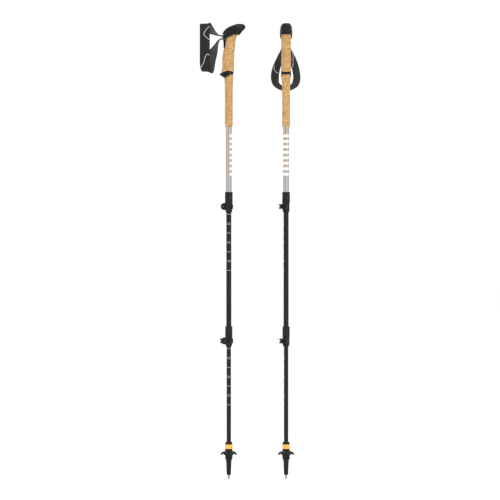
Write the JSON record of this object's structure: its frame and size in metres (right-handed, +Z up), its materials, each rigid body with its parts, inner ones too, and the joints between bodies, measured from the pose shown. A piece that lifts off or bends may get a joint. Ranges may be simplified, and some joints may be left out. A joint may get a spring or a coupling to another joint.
{
  "type": "trekking poles",
  "caption": "Pair of telescoping trekking poles with cork grips, wrist straps, lever locks, round baskets and hard tips.",
  "frame": {"origin": "end face of the left pole's carbide tip, on the pole's axis, at ground height", "axes": "+Z up both shafts, +X from the left pole to the right pole and along the left pole's nose, -Y along the right pole's nose"},
  "size_m": [0.2712, 0.1023, 1.2244],
  "materials": {
    "cork": "natural cork, matte",
    "head_plastic": "soft black moulding",
    "lock_plastic": "fine satin black moulding",
    "badge_silver": "satin silver",
    "tube_champagne": "anodised, champagne fading to silver",
    "tube_black": "gloss black anodised",
    "strap_fabric": "woven polyester with padded lining",
    "tip_plastic": "tough black moulding",
    "accent_orange": "satin orange",
    "steel": "plated steel",
    "carbide": "ground carbide"
  },
  "bodies": {
    "left_upper": {"left_upper_tube": "tube_champagne", "left_grip_cork": "cork", "left_grip_extension": "cork", "left_grip_ring": "head_plastic", "left_grip_head": "head_plastic", "left_head_badge": "badge_silver", "left_strap_webbing": "strap_fabric", "left_strap_wedge": "head_plastic", "left_strap_pin": "steel", "left_upper_lock_sleeve": "lock_plastic", "left_upper_lock_barrel_pin": "steel"},
    "left_middle": {"left_middle_tube": "tube_black", "left_middle_guide_plug": "head_plastic", "left_lower_lock_sleeve": "lock_plastic", "left_lower_lock_barrel_pin": "steel"},
    "left_lower": {"left_lower_tube": "tube_black", "left_lower_guide_plug": "head_plastic", "left_tip_housing": "tip_plastic", "left_accent_ring": "accent_orange", "left_tip_holder": "steel", "left_carbide_tip": "carbide"},
    "left_basket": {"left_basket": "tip_plastic"},
    "left_strap": {"left_strap_loop": "strap_fabric"},
    "left_upper_lever": {"left_upper_lock_lever": "lock_plastic"},
    "left_upper_screw": {"left_upper_lock_screw": "steel", "left_upper_lock_wheel": "lock_plastic"},
    "left_lower_lever": {"left_lower_lock_lever": "lock_plastic"},
    "left_lower_screw": {"left_lower_lock_screw": "steel", "left_lower_lock_wheel": "lock_plastic"},
    "right_upper": {"right_upper_tube": "tube_champagne", "right_grip_cork": "cork", "right_grip_extension": "cork", "right_grip_ring": "head_plastic", "right_grip_head": "head_plastic", "right_head_badge": "badge_silver", "right_strap_webbing": "strap_fabric", "right_strap_wedge": "head_plastic", "right_strap_pin": "steel", "right_upper_lock_sleeve": "lock_plastic", "right_upper_lock_barrel_pin": "steel"},
    "right_middle": {"right_middle_tube": "tube_black", "right_middle_guide_plug": "head_plastic", "right_lower_lock_sleeve": "lock_plastic", "right_lower_lock_barrel_pin": "steel"},
    "right_lower": {"right_lower_tube": "tube_black", "right_lower_guide_plug": "head_plastic", "right_tip_housing": "tip_plastic", "right_accent_ring": "accent_orange", "right_tip_holder": "steel", "right_carbide_tip": "carbide"},
    "right_basket": {"right_basket": "tip_plastic"},
    "right_strap": {"right_strap_loop": "strap_fabric"},
    "right_upper_lever": {"right_upper_lock_lever": "lock_plastic"},
    "right_upper_screw": {"right_upper_lock_screw": "steel", "right_upper_lock_wheel": "lock_plastic"},
    "right_lower_lever": {"right_lower_lock_lever": "lock_plastic"},
    "right_lower_screw": {"right_lower_lock_screw": "steel", "right_lower_lock_wheel": "lock_plastic"}
  },
  "joints": [
    {"name": "left_upper_lever_hinge", "type": "hinge", "parent": "left_upper", "child": "left_upper_lever", "pos_m": [-0.0155, 0.0098, 0.731], "axis": [0, 0, 1], "range_deg": [0, 130]},
    {"name": "left_upper_screw_turn", "type": "hinge", "parent": "left_upper", "child": "left_upper_screw", "pos_m": [-0.0155, 0, 0.731], "axis": [0, 1, 0], "continuous": true},
    {"name": "left_lower_lever_hinge", "type": "hinge", "parent": "left_middle", "child": "left_lower_lever", "pos_m": [-0.01832, 0.00074, 0.371], "axis": [0, 0, 1], "range_deg": [0, 130]},
    {"name": "left_lower_screw_turn", "type": "hinge", "parent": "left_middle", "child": "left_lower_screw", "pos_m": [-0.01342, -0.00775, 0.371], "axis": [-0.5, 0.866, 0], "continuous": true},
    {"name": "left_middle_slide", "type": "slide", "parent": "left_upper", "child": "left_middle", "axis": [0, 0, 1], "range_m": [-0.04, 0.29]},
    {"name": "left_lower_slide", "type": "slide", "parent": "left_middle", "child": "left_lower", "axis": [0, 0, 1], "range_m": [-0.04, 0.235]},
    {"name": "left_basket_turn", "type": "hinge", "parent": "left_lower", "child": "left_basket", "pos_m": [0, 0, 0.07], "axis": [0, 0, 1], "continuous": true},
    {"name": "left_strap_swing", "type": "hinge", "parent": "left_upper", "child": "left_strap", "pos_m": [-0.02, 0, 1.1842], "axis": [0, 1, 0], "range_deg": [0, 17]},
    {"name": "right_upper_lever_hinge", "type": "hinge", "parent": "right_upper", "child": "right_upper_lever", "pos_m": [0.13899, -0.01121, 0.731], "axis": [0, 0, 1], "range_deg": [0, 130]},
    {"name": "right_upper_screw_turn", "type": "hinge", "parent": "right_upper", "child": "right_upper_screw", "pos_m": [0.1482, -0.01456, 0.731], "axis": [-0.9397, 0.342, 0], "continuous": true},
    {"name": "right_lower_lever_hinge", "type": "hinge", "parent": "right_middle", "child": "right_lower_lever", "pos_m": [0.14002, -0.01243, 0.371], "axis": [0, 0, 1], "range_deg": [0, 130]},
    {"name": "right_lower_screw_turn", "type": "hinge", "parent": "right_middle", "child": "right_lower_screw", "pos_m": [0.14949, -0.01497, 0.371], "axis": [-0.9659, 0.2588, 0], "continuous": true},
    {"name": "right_middle_slide", "type": "slide", "parent": "right_upper", "child": "right_middle", "axis": [0, 0, 1], "range_m": [-0.04, 0.29]},
    {"name": "right_lower_slide", "type": "slide", "parent": "right_middle", "child": "right_lower", "axis": [0, 0, 1], "range_m": [-0.04, 0.235]},
    {"name": "right_basket_turn", "type": "hinge", "parent": "right_lower", "child": "right_basket", "pos_m": [0.1535, 0, 0.07], "axis": [0, 0, 1], "continuous": true},
    {"name": "right_strap_swing", "type": "hinge", "parent": "right_upper", "child": "right_strap", "pos_m": [0.1535, 0.02, 1.1842], "axis": [1, 0, 0], "range_deg": [0, 17]},
    {"name": "right_pole_apart", "type": "slide", "parent": "left_upper", "child": "right_upper", "axis": [1, 0, 0], "range_m": [0, 0.5]}
  ]
}
